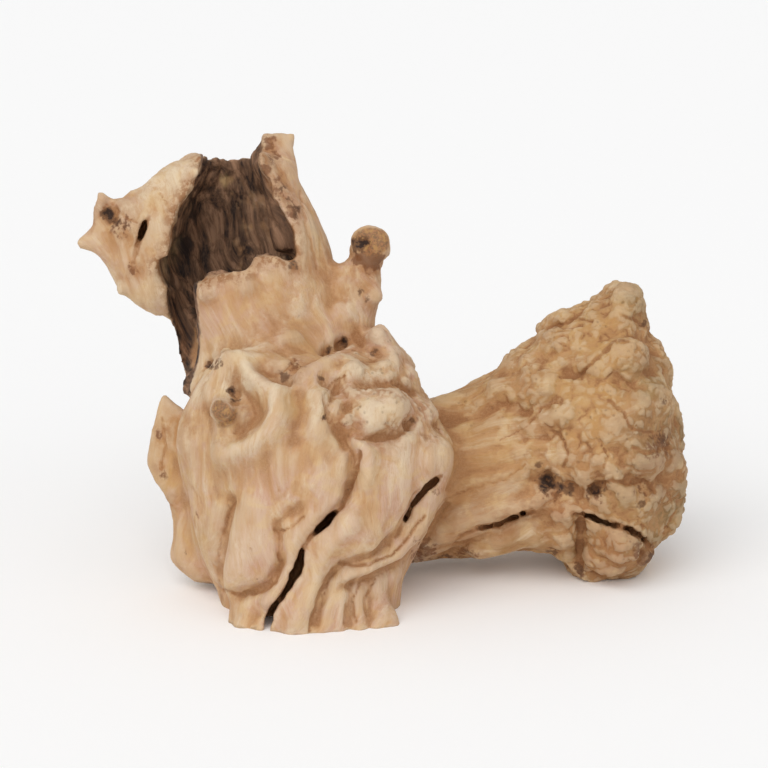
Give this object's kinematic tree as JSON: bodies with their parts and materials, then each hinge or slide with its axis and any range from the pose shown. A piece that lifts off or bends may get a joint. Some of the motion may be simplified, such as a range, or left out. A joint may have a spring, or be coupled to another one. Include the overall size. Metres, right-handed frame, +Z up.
{
  "type": "aquarium driftwood",
  "caption": "Pale gnarled driftwood root with a flat sawn foot, a hollow broken limb with dark rotten heartwood, a knotted stub and a thick side limb ending in a knobbly burl.",
  "frame": {"origin": "on the surface it stands on, under the middle of its bounding box", "axes": "+X towards the burl, +Y towards the back, away from the open side of the hollow limb, +Z up"},
  "size_m": [0.3058, 0.1686, 0.218],
  "materials": {
    "pale_driftwood": "dry, sandblasted, matt"
  },
  "bodies": {
    "root": {"driftwood": "pale_driftwood"}
  },
  "joints": []
}
